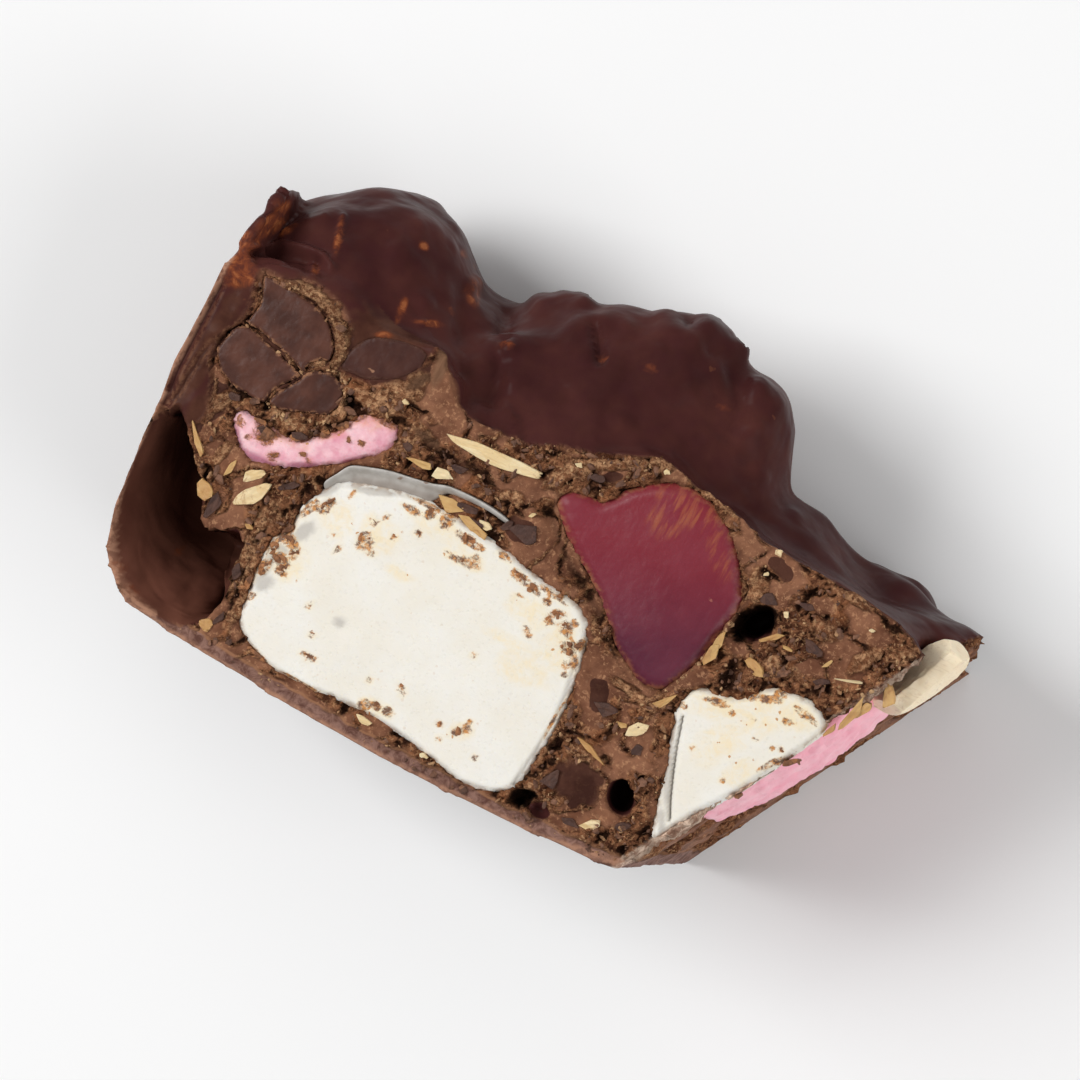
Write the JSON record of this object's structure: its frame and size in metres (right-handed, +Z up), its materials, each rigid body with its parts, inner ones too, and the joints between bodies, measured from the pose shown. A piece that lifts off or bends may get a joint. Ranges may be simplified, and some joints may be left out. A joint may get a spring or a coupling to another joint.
{
  "type": "rocky road piece",
  "caption": "Cut piece of rocky road: dark chocolate poured over marshmallows, jelly and nuts, lumpy on one side, with a flat cut face that shows them.",
  "frame": {"origin": "under the middle of the piece's overall box, on the surface that it lies on", "axes": "+X along the flat side that lay on the mould's bottom, towards the oblique cut end; +Y towards the lumpy poured side; +Z up, out of the shown cut face"},
  "size_m": [0.075, 0.049, 0.0284],
  "materials": {
    "chocolate": "crumbly mid brown where cut, glossy dark purplish brown where poured",
    "white_marshmallow": "soft, matt, very fine pores, cream white",
    "pink_marshmallow": "soft, matt, very fine pores, pale pink",
    "jelly": "smooth, waxy sheen, deep red",
    "button_chocolate": "smooth satin dark brown, as cut by a knife",
    "nut": "dry, satin, cream"
  },
  "bodies": {
    "root": {"chocolate": "chocolate", "marshmallow_large": "white_marshmallow", "marshmallow_small": "white_marshmallow", "marshmallow_pink_strip": "pink_marshmallow", "marshmallow_pink_end": "pink_marshmallow", "jelly": "jelly", "chocolate_button_1": "button_chocolate", "chocolate_button_2": "button_chocolate", "chocolate_button_3": "button_chocolate", "chocolate_button_4": "button_chocolate", "nut": "nut"}
  },
  "joints": []
}
